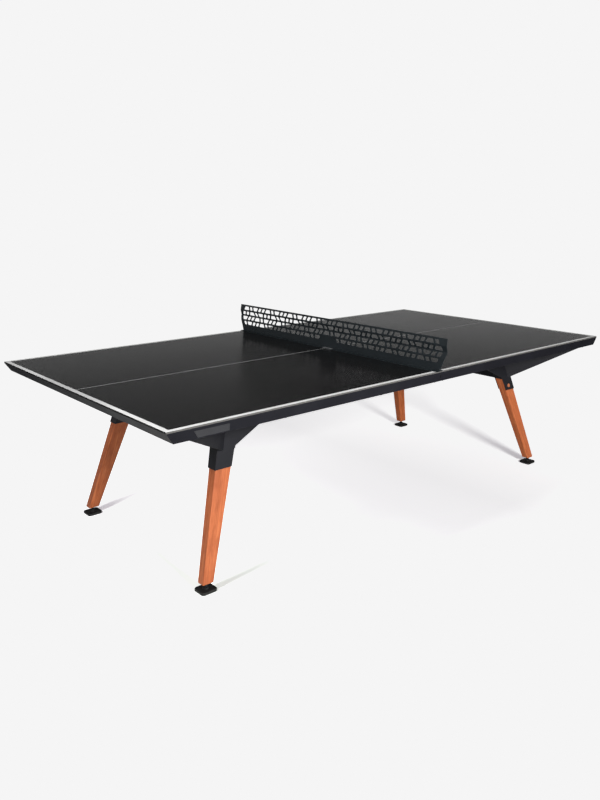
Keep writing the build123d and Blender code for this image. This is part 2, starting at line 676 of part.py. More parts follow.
periods = range(-1, 9)
with BuildPart() as net_sheet:
    with BuildSketch(Plane.XZ.offset(NET_WIDTH / 2)):
        with BuildLine():
            Polyline(*net_section, close=True)
        make_face()
    extrude(amount=-NET_WIDTH)
    # The ends taper in from the shoulder to the width of the panels.
    for sign in (-1, 1):
        with BuildSketch(Plane.YZ.offset(-60)):
            with BuildLine():
                Polyline(
                    (sign * NET_WIDTH / 2, NET_SHOULDER_Z),
                    (sign * NET_FOOT_WIDTH / 2, TABLE_HEIGHT + NET_SHEET + 1),
                    (sign * NET_FOOT_WIDTH / 2, TABLE_HEIGHT - 5),
                    (sign * (NET_WIDTH / 2 + 5), TABLE_HEIGHT - 5),
                    (sign * (NET_WIDTH / 2 + 5), NET_SHOULDER_Z),
                    close=True,
                )
            make_face()
        extrude(amount=120, mode=Mode.SUBTRACT)
    for row, row_z in enumerate(HOLE_ROWS):
        first_y = FIRST_HOLE_Y - row * HOLE_ROW_SHIFT
        with BuildSketch(Plane.YZ.offset(-60)):
            for period_index in periods:
                for corners in opening_outline(first_y, period_index):
                    centre_y = sum(y for y, _ in corners) / 4
                    plain = row == len(HOLE_ROWS) - 1 and abs(centre_y) < PLAIN_PATCH_HALF_WIDTH
                    if plain:
                        continue
                    with BuildLine():
                        Polyline(*[(y, row_z + z) for y, z in corners], close=True)
                    make_face()
            fillet(vertices(), radius=HOLE_CORNER_RADIUS)
        extrude(amount=120, mode=Mode.SUBTRACT)
save(net_sheet, "net_sheet")

# End shoes stand on the panels' edges, and tongues drop into the slot between the halves.
shoe_width = 22.0
with BuildPart() as net_shoes:
    for sign in (-1, 1):
        with BuildSketch(Plane.XY.offset(TABLE_HEIGHT)):
            with Locations(((SHOE_EDGE_X + net_foot_x) / 2, sign * (half_width - shoe_width / 2))):
                Rectangle(SHOE_EDGE_X - net_foot_x, shoe_width)
        extrude(amount=NET_SHEET)
save(net_shoes, "net_shoes")

tongue_thickness = SEAM_GAP - 0.8
with BuildPart() as net_tongues:
    for y in TONGUE_STATIONS:
        with BuildSketch(Plane.XZ.offset(-y - 20)):
            with BuildLine():
                Polyline(
                    (net_foot_x, TABLE_HEIGHT),
                    (net_foot_x, TABLE_HEIGHT + NET_SHEET),
                    (tongue_thickness / 2, TABLE_HEIGHT + NET_SHEET),
                    (tongue_thickness / 2, TABLE_HEIGHT - TONGUE_DEPTH),
                    (-tongue_thickness / 2, TABLE_HEIGHT - TONGUE_DEPTH),
                    (-tongue_thickness / 2, TABLE_HEIGHT),
                    close=True,
                )
            make_face()
        extrude(amount=40)
save(net_tongues, "net_tongues")

with BuildPart() as net_centre_plate:
    with BuildSketch(Plane.XY.offset(TABLE_HEIGHT + NET_SHEET)):
        with Locations((NET_FLANGE_X + 10, -11)):
            RectangleRounded(18, 64, 2)
    extrude(amount=1.5)
save(net_centre_plate, "net_centre_plate")

# ---- blank badge on the near rail ---------------------------------------------------------

rail_face_tilt = degrees(atan2(SIDE_RAIL_SLOPE, RAIL_HEIGHT))
badge_plane = Plane(
    origin=(-1195, -(half_width - SIDE_RAIL_SLOPE * 24 / RAIL_HEIGHT), panel_foot_z - 24),
    x_dir=(1, 0, 0),
    z_dir=(0, -cos(radians(rail_face_tilt)), -sin(radians(rail_face_tilt))),
)
with BuildPart() as badge:
    with BuildSketch(badge_plane):
        with BuildLine():
            Polyline((-71, 13), (70, 13), (70, -13), (-56, -13), close=True)
        make_face()
    extrude(amount=1.5)
    chamfer(badge.faces().sort_by(Axis.Y)[0].edges(), length=0.4)
save(badge, "rail_badge")

# ---- plain enamel disc on the near right bracket ------------------------------------------

disc_seat = Vector(*on_front(*DISC_CENTRE)) + front_normal * BRACKET_SHEET
with BuildPart() as disc:
    with BuildSketch(Plane(origin=disc_seat, x_dir=(1, 0, 0), z_dir=front_normal)):
        Circle(DISC_RADIUS)
    extrude(amount=1)
    chamfer(disc.edges().filter_by(GeomType.CIRCLE).sort_by(Axis.Y)[-1], length=0.3)
save(mirrored(disc, 1, -1), "bracket_disc")
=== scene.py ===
"""Looks for the ping pong table: materials, threaded foot studs, floor, light and camera."""
import json
import math
import random

import bmesh
import bpy
from mathutils import Matrix, Vector


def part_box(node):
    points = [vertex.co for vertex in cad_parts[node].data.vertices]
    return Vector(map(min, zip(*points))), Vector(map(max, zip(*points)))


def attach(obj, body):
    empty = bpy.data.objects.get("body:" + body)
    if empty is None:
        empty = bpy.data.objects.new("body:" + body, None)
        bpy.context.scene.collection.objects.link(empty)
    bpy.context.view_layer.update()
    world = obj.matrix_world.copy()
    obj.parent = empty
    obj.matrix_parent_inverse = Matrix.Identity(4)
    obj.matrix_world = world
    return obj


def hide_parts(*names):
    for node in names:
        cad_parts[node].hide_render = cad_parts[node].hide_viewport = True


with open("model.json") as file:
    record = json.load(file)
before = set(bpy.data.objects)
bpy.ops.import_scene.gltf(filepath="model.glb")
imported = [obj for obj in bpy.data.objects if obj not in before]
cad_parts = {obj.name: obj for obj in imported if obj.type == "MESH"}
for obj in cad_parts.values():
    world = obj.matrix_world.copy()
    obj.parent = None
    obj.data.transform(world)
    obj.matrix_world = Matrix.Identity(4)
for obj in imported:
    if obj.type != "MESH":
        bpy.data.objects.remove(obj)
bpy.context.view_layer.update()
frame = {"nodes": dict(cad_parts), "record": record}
nodes = frame["nodes"]

MM = 0.001
QUADRANTS = ("near_left", "far_left", "near_right", "far_right")
random.seed(7)


# ---- node helpers -------------------------------------------------------------------------

def add_node(tree, kind, inputs=None, **settings):
    """A shader node with its settings; an input is a value, or a socket to link from."""
    made = tree.nodes.new(kind)
    for key, value in settings.items():
        setattr(made, key, value)
    for key, value in (inputs or {}).items():
        if isinstance(value, bpy.types.NodeSocket):
            tree.links.new(value, made.inputs[key])
        else:
            made.inputs[key].default_value = value
    return made


def new_material(name):
    """An empty node material with a Principled shader, and its tree."""
    material = bpy.data.materials.new(name)
    material.use_nodes = True
    tree = material.node_tree
    tree.nodes.clear()
    shader = add_node(tree, "ShaderNodeBsdfPrincipled")
    add_node(tree, "ShaderNodeOutputMaterial", {"Surface": shader.outputs[0]})
    return material, tree, shader


def feed(tree, shader, **sockets):
    """Link or set the shader's inputs; underscores in the names stand for spaces."""
    for key, value in sockets.items():
        socket = shader.inputs[key.replace("_", " ")]
        if isinstance(value, bpy.types.NodeSocket):
            tree.links.new(value, socket)
        else:
            socket.default_value = value


def place(tree, scale=(1, 1, 1), rotation=(0, 0, 0), location=(0, 0, 0)):
    """Object coordinates, scaled, turned and shifted."""
    coords = add_node(tree, "ShaderNodeTexCoord")
    return add_node(tree, "ShaderNodeMapping", {
        "Vector": coords.outputs["Object"],
        "Scale": scale,
        "Rotation": rotation,
        "Location": location,
    }).outputs[0]


def draw_out(tree, vector, factor):
    """Coordinates scaled along Z; a small factor draws a pattern out along that axis."""
    return add_node(tree, "ShaderNodeMapping", {"Vector": vector, "Scale": (1, 1, factor)}).outputs[0]


def component(tree, vector, axis):
    """One component of a vector, X, Y or Z."""
    return add_node(tree, "ShaderNodeSeparateXYZ", {0: vector}).outputs[axis]


def noise(tree, vector, scale, detail=3.0, roughness=0.55):
    """Noise between 0 and 1."""
    return add_node(tree, "ShaderNodeTexNoise", {
        "Vector": vector,
        "Scale": scale,
        "Detail": detail,
        "Roughness": roughness,
    }).outputs["Fac"]


def cells(tree, vector, scale):
    """Distance from the nearest of many scattered points."""
    settings = {"Vector": vector, "Scale": scale}
    return add_node(tree, "ShaderNodeTexVoronoi", settings).outputs["Distance"]


def span(tree, value, low, high, to_low=0.0, to_high=1.0):
    """A value remapped from one range to another, and clamped."""
    settings = {"Value": value, "From Min": low, "From Max": high, "To Min": to_low, "To Max": to_high}
    return add_node(tree, "ShaderNodeMapRange", settings).outputs[0]


def calc(tree, operation, first, second=0.0):
    """One arithmetic step."""
    return add_node(tree, "ShaderNodeMath", {0: first, 1: second}, operation=operation).outputs[0]


def vector_calc(tree, operation, first, second=(0, 0, 0)):
    """One arithmetic step on vectors; a dot product or a length is a single value."""
    made = add_node(tree, "ShaderNodeVectorMath", {0: first, 1: second}, operation=operation)
    return made.outputs["Value" if operation in ("DOT_PRODUCT", "LENGTH") else "Vector"]


def blend(tree, factor, first, second, kind="MIX"):
    """A mix of two colours."""
    made = add_node(tree, "ShaderNodeMix", data_type="RGBA", blend_type=kind)
    for index, value in ((0, factor), (6, first), (7, second)):
        if isinstance(value, bpy.types.NodeSocket):
            tree.links.new(value, made.inputs[index])
        else:
            made.inputs[index].default_value = value
    return made.outputs[2]


def blend_shaders(tree, factor, first, second):
    """A mix of two shaders."""
    return add_node(tree, "ShaderNodeMixShader", {0: factor, 1: first, 2: second}).outputs[0]


def glow(tree, colour, strength=1.0):
    """A surface that gives off light."""
    return add_node(tree, "ShaderNodeEmission", {"Color": colour, "Strength": strength}).outputs[0]


def ramp(tree, factor, stops):
    """A colour ramp with (position, colour) stops."""
    made = add_node(tree, "ShaderNodeValToRGB", {"Fac": factor})
    elements = made.color_ramp.elements
    while len(elements) < len(stops):
        elements.new(0.5)
    for element, (position, colour) in zip(elements, stops):
        element.position = position
        element.color = colour
    return made.outputs[0]


def bump(tree, height, distance, strength=1.0, normal=None):
    """A bump whose height is a fraction of a distance in metres."""
    settings = {"Height": height, "Distance": distance, "Strength": strength}
    if normal is not None:
        settings["Normal"] = normal
    return add_node(tree, "ShaderNodeBump", settings).outputs[0]


# The rounded normal's agreement with the flat one, where wear starts and where it is full, and
# the range of the noise that leaves parts of an edge unworn.
WEAR_START, WEAR_FULL = 0.995, 0.86
PATCH_LOW, PATCH_HIGH = 0.42, 0.62


def edge_wear(tree, radius, patchiness_scale):
    """1 on worn outside edges and 0 on flats, broken up by noise; also the rounded normal."""
    rounded = add_node(tree, "ShaderNodeBevel", {"Radius": radius}, samples=6).outputs[0]
    flat = add_node(tree, "ShaderNodeNewGeometry").outputs["Normal"]
    edge = span(tree, vector_calc(tree, "DOT_PRODUCT", rounded, flat), WEAR_START, WEAR_FULL)
    patches = span(tree, noise(tree, place(tree), patchiness_scale, 4), PATCH_LOW, PATCH_HIGH)
    return calc(tree, "MULTIPLY", edge, patches), rounded


def grey(value, tint=(1.0, 1.0, 1.0)):
    """A colour of one value, with a slight tint."""
    return (value * tint[0], value * tint[1], value * tint[2], 1.0)


def scaled(colour, factor):
    """A colour made darker or lighter, with no channel above 1."""
    return tuple(min(1.0, channel * factor) for channel in colour[:3]) + (1.0,)


# ---- materials ----------------------------------------------------------------------------

# The paler colour of the panel's long-side edges: a painted highlight.
LONG_EDGE_HIGHLIGHT = (0.125, 0.12, 0.115, 1)
WOOD_LIGHT = (0.62, 0.182, 0.064)
WOOD_MIDDLE = (0.50, 0.126, 0.040)
WOOD_DEEP = (0.33, 0.072, 0.020)
WOOD_PORE = (0.16, 0.045, 0.016, 1)
WOOD_WORN = (0.74, 0.32, 0.14, 1)
# Patterns scaled along Z: the wood's are drawn out along the leg, turning marks are close rings.
GRAIN_DRAW, PORE_DRAW, FIGURE_DRAW = 0.045, 0.06, 0.3
TURNING_DRAW = 14
# The panel's non-glare grain also shows in the paint on it.
PANEL_GRAIN = 620


def laminate_material():
    """Dark satin laminate: a fine non-glare grain, faint cloudiness, ball marks, and a painted highlight
    on the long-side edges.
    """
    material, tree, shader = new_material("panel_laminate")
    here = place(tree)
    cloud = noise(tree, here, 1.6, 4)
    speckle = noise(tree, here, 1400, 2)
    fine = noise(tree, here, PANEL_GRAIN, 3, 0.6)
    scuffs = span(tree, noise(tree, place(tree, (1, 5, 1), (0, 0, 0.4)), 9, 6, 0.7), 0.62, 0.8)
    base = ramp(tree, cloud, [(0.3, grey(0.0062)), (0.7, grey(0.0080))])
    base = blend(tree, span(tree, speckle, 0.55, 0.75, 0, 0.2), base, grey(0.016))
    base = blend(tree, calc(tree, "MULTIPLY", scuffs, 0.05), base, grey(0.025))
    # Edges that face along Y are painted paler than the end edges: a painted highlight.
    normal = add_node(tree, "ShaderNodeNewGeometry").outputs["True Normal"]
    long_side = calc(tree, "ABSOLUTE", component(tree, normal, "Y"))
    base = blend(tree, span(tree, long_side, 0.5, 0.8), base, LONG_EDGE_HIGHLIGHT)
    rough = span(tree, cloud, 0.3, 0.7, 0.22, 0.26)
    rough = calc(tree, "ADD", rough, calc(tree, "MULTIPLY", scuffs, 0.03))
    grain = calc(tree, "ADD", fine, calc(tree, "MULTIPLY", speckle, 0.4))
    feed(tree, shader, Base_Color=base, Roughness=rough, Specular_IOR_Level=0.5)
    feed(tree, shader, Normal=bump(tree, grain, 0.06 * MM, 0.6))
    return material


def paint_material(value, wear):
    """White line paint, slightly rubbed; the thin centre line is greyer than the edge lines."""
    material, tree, shader = new_material("line_paint")
    here = place(tree)
    rubbed = span(tree, noise(tree, here, 70, 6, 0.7), 0.58, 0.75)
    dust = noise(tree, here, 14, 5)
    base = ramp(tree, dust, [(0.3, grey(value * 0.93, (1, 1, 0.98))), (0.7, grey(value))])
    base = blend(tree, calc(tree, "MULTIPLY", rubbed, wear), base, grey(0.3))
    across = calc(tree, "ABSOLUTE", component(tree, here, "Y"))
    base = blend(tree, span(tree, across, 0.4, 0.2), base, grey(0.62))
    feed(tree, shader, Base_Color=base, Roughness=span(tree, dust, 0.3, 0.7, 0.42, 0.55))
    feed(tree, shader, Normal=bump(tree, noise(tree, here, PANEL_GRAIN, 3, 0.6), 0.05 * MM, 0.6))
    return material


def powder_coat_material(name, colour, rough=0.48, wear_radius=1.2 * MM, specular=0.22):
    """Powder coat on steel sheet: orange peel, faint mottling, and edges rubbed lighter."""
    material, tree, shader = new_material(name)
    here = place(tree)
    peel = noise(tree, here, 420, 2, 0.5)
    texture = noise(tree, here, 1500, 2, 0.5)
    mottle = noise(tree, here, 9, 5)
    wear, rounded = edge_wear(tree, wear_radius, 60)
    base = ramp(tree, mottle, [(0.3, scaled(colour, 0.86)), (0.7, scaled(colour, 1.12))])
    base = blend(tree, calc(tree, "MULTIPLY", wear, 0.5), base, grey(0.14))
    height = calc(tree, "ADD", peel, calc(tree, "MULTIPLY", texture, 0.5))
    rough = span(tree, mottle, 0.3, 0.7, rough - 0.05, rough + 0.06)
    feed(tree, shader, Base_Color=base, Roughness=rough, Specular_IOR_Level=specular)
    feed(tree, shader, Normal=bump(tree, height, 0.08 * MM, 0.55, rounded))
    return material


def wood_material(name, sign_x, sign_y, painted_lighting):
    """Oiled hardwood with straight grain along the leg: growth bands, streaks, figure and pores."""
    material, tree, shader = new_material(name)
    # Turn the coordinates so that Z runs along the splayed leg.
    lean_y = math.atan2(LEG_LEAN[0] * sign_x, 1.0)
    lean_x = -math.atan2(LEG_LEAN[1] * sign_y, 1.0)
    offset = (random.uniform(-3, 3), random.uniform(-3, 3), random.uniform(-3, 3))
    along = place(tree, (1, 1, 1), (lean_x, lean_y, 0), offset)
    grain = draw_out(tree, along, GRAIN_DRAW)
    warp = add_node(tree, "ShaderNodeTexNoise", {"Vector": grain, "Scale": 16.0, "Detail": 3.0})
    warped = blend(tree, 0.055, grain, warp.outputs["Color"], "ADD")
    bands = add_node(tree, "ShaderNodeTexWave", {
        "Vector": warped, "Scale": 26.0, "Distortion": 5.0, "Detail": 3.0, "Detail Scale": 1.4,
    }, wave_type="BANDS", bands_direction="DIAGONAL").outputs["Fac"]
    fibre = noise(tree, grain, 900, 4, 0.65)
    streak = noise(tree, grain, 60, 5, 0.6)
    pores = span(tree, cells(tree, draw_out(tree, along, PORE_DRAW), 700.0), 0.16, 0.05)
    figure = noise(tree, draw_out(tree, along, FIGURE_DRAW), 55, 4)
    # The wood colours are scaled by this leg's factor: painted light and shade.
    middle, deep = scaled(WOOD_MIDDLE, painted_lighting), scaled(WOOD_DEEP, painted_lighting)
    base = ramp(tree, bands, [(0.0, middle), (0.55, scaled(WOOD_LIGHT, painted_lighting)), (1.0, middle)])
    base = blend(tree, span(tree, streak, 0.45, 0.72, 0, 0.55), base, deep)
    base = blend(tree, span(tree, fibre, 0.5, 0.8, 0, 0.35), base, deep)
    base = blend(tree, calc(tree, "MULTIPLY", pores, 0.6), base, WOOD_PORE)
    base = blend(tree, span(tree, figure, 0.46, 0.66, 0, 0.5), base, deep)
    wear, rounded = edge_wear(tree, 3 * MM, 30)
    base = blend(tree, calc(tree, "MULTIPLY", wear, 0.3), base, WOOD_WORN)
    height = calc(tree, "SUBTRACT", fibre, calc(tree, "MULTIPLY", pores, 0.8))
    rough = span(tree, streak, 0.3, 0.7, 0.42, 0.56)
    feed(tree, shader, Base_Color=base, Roughness=rough, Specular_IOR_Level=0.35)
    feed(tree, shader, Normal=bump(tree, height, 0.12 * MM, 0.6, rounded))
    return material


def moulded_material(name, value, rough):
    """Moulded black plastic or rubber with a spark-eroded texture."""
    material, tree, shader = new_material(name)
    here = place(tree)
    pit = noise(tree, here, 900, 3, 0.6)
    dust = noise(tree, here, 40, 5)
    base = ramp(tree, dust, [(0.35, grey(value)), (0.75, grey(value * 1.9, (1.0, 0.98, 0.95)))])
    wear, rounded = edge_wear(tree, 1.5 * MM, 80)
    base = blend(tree, calc(tree, "MULTIPLY", wear, 0.35), base, grey(0.09))
    rough = span(tree, dust, 0.3, 0.7, rough - 0.06, rough + 0.08)
    feed(tree, shader, Base_Color=base, Roughness=rough)
    feed(tree, shader, Normal=bump(tree, pit, 0.1 * MM, 0.7, rounded))
    return material


def plated_material(name, colour, rough):
    """Zinc-plated or passivated steel with fine turning marks and dull patches."""
    material, tree, shader = new_material(name)
    patch = noise(tree, place(tree), 120, 4)
    turning = noise(tree, place(tree, (1, 1, TURNING_DRAW)), 260, 2)
    base = ramp(tree, patch, [(0.3, colour), (0.7, scaled(colour, 1.12))])
    wear, rounded = edge_wear(tree, 0.4 * MM, 300)
    base = blend(tree, calc(tree, "MULTIPLY", wear, 0.4), base, grey(0.7))
    rough = span(tree, patch, 0.3, 0.7, rough - 0.07, rough + 0.1)
    feed(tree, shader, Base_Color=base, Metallic=0.9, Roughness=rough)
    feed(tree, shader, Normal=bump(tree, turning, 0.03 * MM, 0.5, rounded))
    return material


def threaded_material(name, colour, rough, centre, pitch):
    """Passivated steel, rubbed bright at the height of each thread crest, also on the hexagon."""
    material, tree, shader = new_material(name)
    here = place(tree)
    from_axis_x = calc(tree, "SUBTRACT", component(tree, here, "X"), centre[0])
    from_axis_y = calc(tree, "SUBTRACT", component(tree, here, "Y"), centre[1])
    turn = calc(tree, "DIVIDE", calc(tree, "ARCTAN2", from_axis_y, from_axis_x), math.tau)
    climb = calc(tree, "SUBTRACT", calc(tree, "DIVIDE", component(tree, here, "Z"), pitch), turn)
    from_crest = calc(tree, "PINGPONG", climb, 0.5)
    patch = noise(tree, here, 160, 4)
    turning = noise(tree, place(tree, (1, 1, TURNING_DRAW)), 260, 2)
    base = ramp(tree, patch, [(0.3, colour), (0.7, scaled(colour, 1.4))])
    base = blend(tree, span(tree, from_crest, 0.1, 0.02, 0, 0.35), base, grey(0.22))
    rough = span(tree, patch, 0.3, 0.7, rough - 0.06, rough + 0.08)
    feed(tree, shader, Base_Color=base, Metallic=0.85, Roughness=rough)
    feed(tree, shader, Normal=bump(tree, turning, 0.03 * MM, 0.5))
    return material


def foam_material():
    """Dark closed-cell foam tape."""
    material, tree, shader = new_material("foam_tape")
    pits = cells(tree, place(tree), 1600.0)
    base = ramp(tree, pits, [(0.1, grey(0.02)), (0.6, grey(0.06))])
    feed(tree, shader, Base_Color=base, Roughness=0.9, Normal=bump(tree, pits, 0.2 * MM, 0.8))
    return material


def finish_node(node_name, material):
    """Give a CAD node one material."""
    for slot in nodes[node_name].material_slots:
        slot.material = material


leg_low, leg_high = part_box("near_right_leg")
LEG_WIDTH_FOOT, LEG_WIDTH_TOP = 49 * MM, 88.6 * MM
LEG_DEPTH_FOOT, LEG_DEPTH_TOP = 41 * MM, 51.5 * MM
leg_height = leg_high.z - leg_low.z
# How far a leg's middle leans outwards along X and Y, per metre of height.
LEG_LEAN = (
    (leg_high.x - leg_low.x - (LEG_WIDTH_FOOT + LEG_WIDTH_TOP) / 2) / leg_height,
    (leg_high.y - leg_low.y - (LEG_DEPTH_FOOT + LEG_DEPTH_TOP) / 2) / leg_height,
)
SIGNS = {"near_left": (-1, -1), "far_left": (-1, 1), "near_right": (1, -1), "far_right": (1, 1)}
# How much each leg's wood colour is scaled: painted light and shade that stands in for how brightly each
# leg is lit.
LEG_PAINTED_LIGHTING = {"near_left": 1.0, "far_left": 0.94, "near_right": 1.12, "far_right": 1.30}

slot_materials = {
    "panel_laminate": laminate_material(),
    "line_paint": paint_material(0.90, 0.12),
    "frame_steel": powder_coat_material("frame_steel", (0.0125, 0.0125, 0.0165, 1), 0.38, specular=0.10),
    "bracket_steel": powder_coat_material("bracket_steel", (0.0115, 0.0115, 0.0150, 1), 0.46),
    "net_steel": powder_coat_material("net_steel", (0.0125, 0.0170, 0.0200, 1), 0.42, 0.8 * MM),
    "black_fasteners": plated_material("black_fasteners", (0.05, 0.05, 0.055, 1), 0.42),
    "zinc_steel": plated_material("zinc_steel", (0.50, 0.50, 0.51, 1), 0.36),
    "foot_plastic": moulded_material("foot_plastic", 0.0045, 0.55),
    "sole_rubber": moulded_material("sole_rubber", 0.009, 0.8),
    "badge_grey": powder_coat_material("badge_grey", (0.036, 0.036, 0.040, 1), 0.4, 0.6 * MM),
    "disc_orange": powder_coat_material("disc_orange", (0.52, 0.17, 0.075, 1), 0.4, 0.5 * MM),
    "foam_tape": foam_material(),
}
for subpart in frame["record"]["subparts"]:
    if subpart["material_slot"] in slot_materials:
        finish_node(subpart["node"], slot_materials[subpart["material_slot"]])
# Each leg has its own piece of wood, made lighter or darker by that leg's painted light and shade.
for quadrant in QUADRANTS:
    wood = wood_material(f"{quadrant}_wood", *SIGNS[quadrant], LEG_PAINTED_LIGHTING[quadrant])
    finish_node(f"{quadrant}_leg", wood)


# ---- mesh helpers -------------------------------------------------------------------------

def new_object(name, mesh_builder, material):
    """A linked mesh object made from a bmesh."""
    mesh = bpy.data.meshes.new(name)
    mesh_builder.normal_update()
    mesh_builder.to_mesh(mesh)
    mesh_builder.free()
    mesh.materials.append(material)
    made = bpy.data.objects.new(name, mesh)
    bpy.context.scene.collection.objects.link(made)
    return made


def ring(centre, z, radii):
    """A level ring of evenly spaced points, one for each radius."""
    points = []
    for index, radius in enumerate(radii):
        angle = math.tau * index / len(radii)
        points.append((centre[0] + radius * math.cos(angle), centre[1] + radius * math.sin(angle), z))
    return points


def skin(builder, rings):
    """A closed solid over rings with the same number of points, from the lowest up."""
    loops = [[builder.verts.new(point) for point in points] for points in rings]
    count = len(loops[0])
    for lower, upper in zip(loops, loops[1:]):
        for index in range(count):
            following = (index + 1) % count
            builder.faces.new((lower[index], lower[following], upper[following], upper[index]))
    builder.faces.new(list(reversed(loops[0])))
    builder.faces.new(loops[-1])


def chamfered_prism(builder, centre, low_z, high_z, sides, radius, chamfer):
    """An upright round or many-sided prism with chamfered ends."""
    steps = ((low_z, chamfer), (low_z + chamfer, 0), (high_z - chamfer, 0), (high_z, chamfer))
    skin(builder, [ring(centre, z, [radius - cut] * sides) for z, cut in steps])


# ---- threaded foot studs ------------------------------------------------------------------

STUD_COLOUR, STUD_ROUGHNESS = (0.03, 0.03, 0.033, 1), 0.4
STUD_RADIUS = 4.95 * MM
THREAD_PITCH = 1.5 * MM
THREAD_DEPTH = 0.9 * MM
THREAD_SIDES = 24
RINGS_PER_TURN = 6
END_CHAMFER = 1.0 * MM
# Where the root ends and the crest starts, in parts of a pitch from the root's middle.
ROOT_END, CREST_START = 0.05, 0.45
BALL_RADIUS, BALL_HEIGHT, BALL_SIDES, BALL_CHAMFER = 7.0 * MM, 5.0 * MM, 32, 0.4 * MM
SHANK_CHAMFER = 0.1 * MM
HEXAGON_RISE, HEXAGON_HEIGHT, HEXAGON_CHAMFER = 13.0 * MM, 8.0 * MM, 0.6 * MM
HEXAGON_RADIUS = 8.5 * MM / math.cos(math.pi / 6)
OVERLAP = 0.5 * MM


def thread_radii(z, high_z):
    """Radii of a right-hand thread all round at one height, run out at the chamfered upper end."""
    radii = []
    for index in range(THREAD_SIDES):
        phase = (z / THREAD_PITCH - index / THREAD_SIDES) % 1.0
        rise = (abs(phase - 0.5) - ROOT_END) / (CREST_START - ROOT_END)
        radius = STUD_RADIUS - THREAD_DEPTH * (1.0 - min(1.0, max(0.0, rise)))
        radii.append(min(radius, STUD_RADIUS - max(0.0, z - (high_z - END_CHAMFER))))
    return radii


def threaded_stud(quadrant):
    """One levelling stud: a disc that turns in the pad, a hexagon for the spanner, and the thread."""
    stud_low, stud_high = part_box(f"{quadrant}_foot_stud")
    centre = ((stud_low.x + stud_high.x) / 2, (stud_low.y + stud_high.y) / 2)
    ball_top = stud_low.z + BALL_HEIGHT
    hexagon_z = stud_low.z + HEXAGON_RISE
    hexagon_top = hexagon_z + HEXAGON_HEIGHT
    thread_z = hexagon_top - OVERLAP
    builder = bmesh.new()
    chamfered_prism(builder, centre, stud_low.z, ball_top, BALL_SIDES, BALL_RADIUS, BALL_CHAMFER)
    shank_span = (ball_top - OVERLAP, hexagon_z + OVERLAP)
    chamfered_prism(builder, centre, *shank_span, THREAD_SIDES, STUD_RADIUS, SHANK_CHAMFER)
    chamfered_prism(builder, centre, hexagon_z, hexagon_top, 6, HEXAGON_RADIUS, HEXAGON_CHAMFER)
    count = round((stud_high.z - thread_z) / THREAD_PITCH * RINGS_PER_TURN)
    heights = [thread_z + (stud_high.z - thread_z) * index / count for index in range(count + 1)]
    skin(builder, [ring(centre, z, thread_radii(z, stud_high.z)) for z in heights])
    steel = threaded_material(f"{quadrant}_thread", STUD_COLOUR, STUD_ROUGHNESS, centre, THREAD_PITCH)
    stud = new_object(f"{quadrant}_threaded_stud", builder, steel)
    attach(stud, f"{quadrant}_stud")
    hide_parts(f"{quadrant}_foot_stud")


for quadrant in QUADRANTS:
    threaded_stud(quadrant)


# ---- floor and room -----------------------------------------------------------------------

# The picture's value where the scene's is 1, and the scene's value on the backdrop.
WHITE_LEVEL = 0.913
SEEN_LEVEL = 1.03
FLOOR_CIRCLES = (2.0, 4.0, 8.0, 30.0, 120.0)
FLOOR_SIDES = 64
FLOOR_TONE = (0.87, 0.895, 0.86)
FLOOR_DAPPLE = 0.985
# Between these distances from the middle the lit floor fades into the backdrop.
LIT_RADIUS, DARK_RADIUS = 1.9, 3.6
# The light of the room on a white floor, and how far above the backdrop the floor is topped
# up at the table's left and right: the more it is topped up, the paler the shadows.
SKY_ON_FLOOR = 0.075
LEFT_HEADROOM, RIGHT_HEADROOM = 0.52, 0.18
HEADROOM_REACH = 0.5
# What the floor gives the room, apart from what the camera sees: its own glow, and its tone's share.
ROOM_FILL = 0.05
ROOM_BOUNCE = 0.42
# The backdrop's light ends between these heights of the view direction, under a dim ceiling.
BACKDROP_FULL, BACKDROP_END = 0.10, 0.145
BACKDROP_LIGHT, CEILING_LIGHT = 1.15, 0.03
# Position, aim point, size, power and extra power on the floor of the two key softboxes.
KEY_LIGHTS = {
    "left_softbox": ((-2.65, -0.44, 1.65), (-0.6, -0.1, 0.3), (0.5, 0.5), 25, 55),
    "front_softbox": ((-0.8, -3.7, 1.78), (0.0, 0.0, 0.3), (0.6, 0.6), 160, 85),
}
OVERHEAD_PLACE, OVERHEAD_SIZE, OVERHEAD_POWER = (0.0, 0.2, 3.6), (3.6, 2.4), 30


def light_on_floor(tree, here, position, target, power):
    """The light a white floor would send back from one softbox, where nothing shades it."""
    aim = (Vector(target) - Vector(position)).normalized()
    ray = vector_calc(tree, "SUBTRACT", here, position)
    along = vector_calc(tree, "DOT_PRODUCT", ray, tuple(aim))
    facing = calc(tree, "MULTIPLY", along, power * position[2] / math.pi ** 2)
    falloff = calc(tree, "POWER", vector_calc(tree, "LENGTH", ray), 4.0)
    return calc(tree, "DIVIDE", calc(tree, "MAXIMUM", facing, 0.0), falloff)


def top_up(tree, here):
    """What the lit floor lacks, at each place, of an even brightness: the left end gets more."""
    lit = SKY_ON_FLOOR
    for position, target, _, power, extra in KEY_LIGHTS.values():
        lit = calc(tree, "ADD", light_on_floor(tree, here, position, target, power + extra), lit)
    own = add_node(tree, "ShaderNodeVectorMath", {0: FLOOR_TONE, "Scale": lit}, operation="SCALE")
    along = component(tree, here, "X")
    headroom = span(tree, along, -HEADROOM_REACH, HEADROOM_REACH, LEFT_HEADROOM, RIGHT_HEADROOM)
    level = calc(tree, "ADD", headroom, SEEN_LEVEL)
    level = add_node(tree, "ShaderNodeCombineXYZ", {0: level, 1: level, 2: level}).outputs[0]
    return vector_calc(tree, "MAXIMUM", vector_calc(tree, "SUBTRACT", level, own.outputs[0]))


